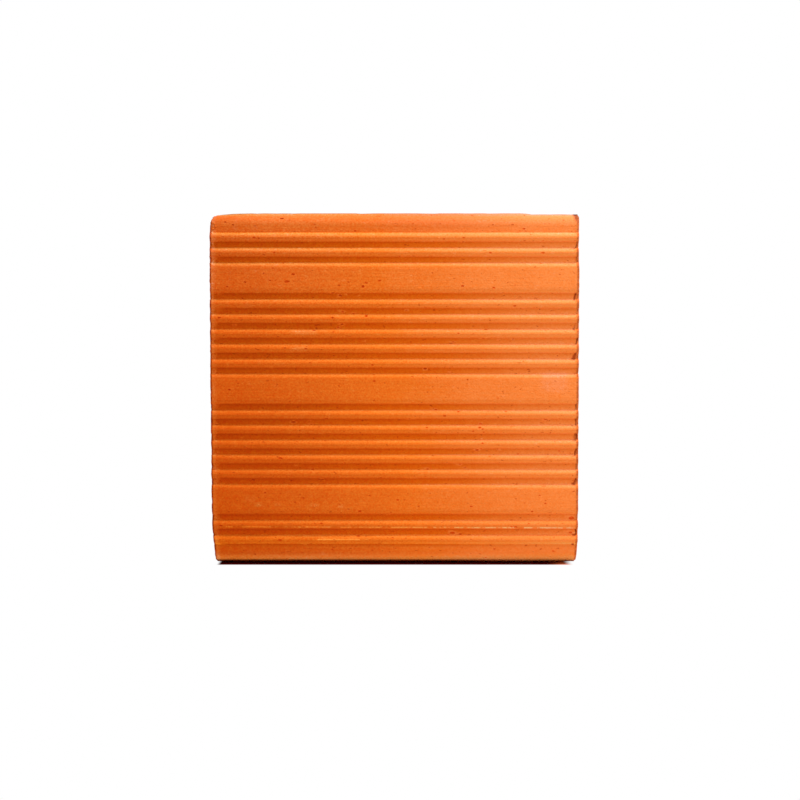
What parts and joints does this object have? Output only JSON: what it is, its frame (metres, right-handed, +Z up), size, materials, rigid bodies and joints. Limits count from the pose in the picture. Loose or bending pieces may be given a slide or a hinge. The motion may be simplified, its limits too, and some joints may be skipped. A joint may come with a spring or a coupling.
{
  "type": "hollow clay brick",
  "caption": "Extruded hollow clay brick with grooved faces, set-back long edges and a grid of cells running from wire cut to wire cut; laid on its narrow face.",
  "frame": {"origin": "middle of the narrow grooved face that the brick is laid on", "axes": "+X along the extrusion, from wire cut to wire cut; +Y from the front face to the back face; +Z up"},
  "size_m": [0.25, 0.12, 0.239],
  "materials": {
    "fired_clay": "matt fired clay with fine grain"
  },
  "bodies": {
    "root": {"clay_block": "fired_clay"}
  },
  "joints": []
}
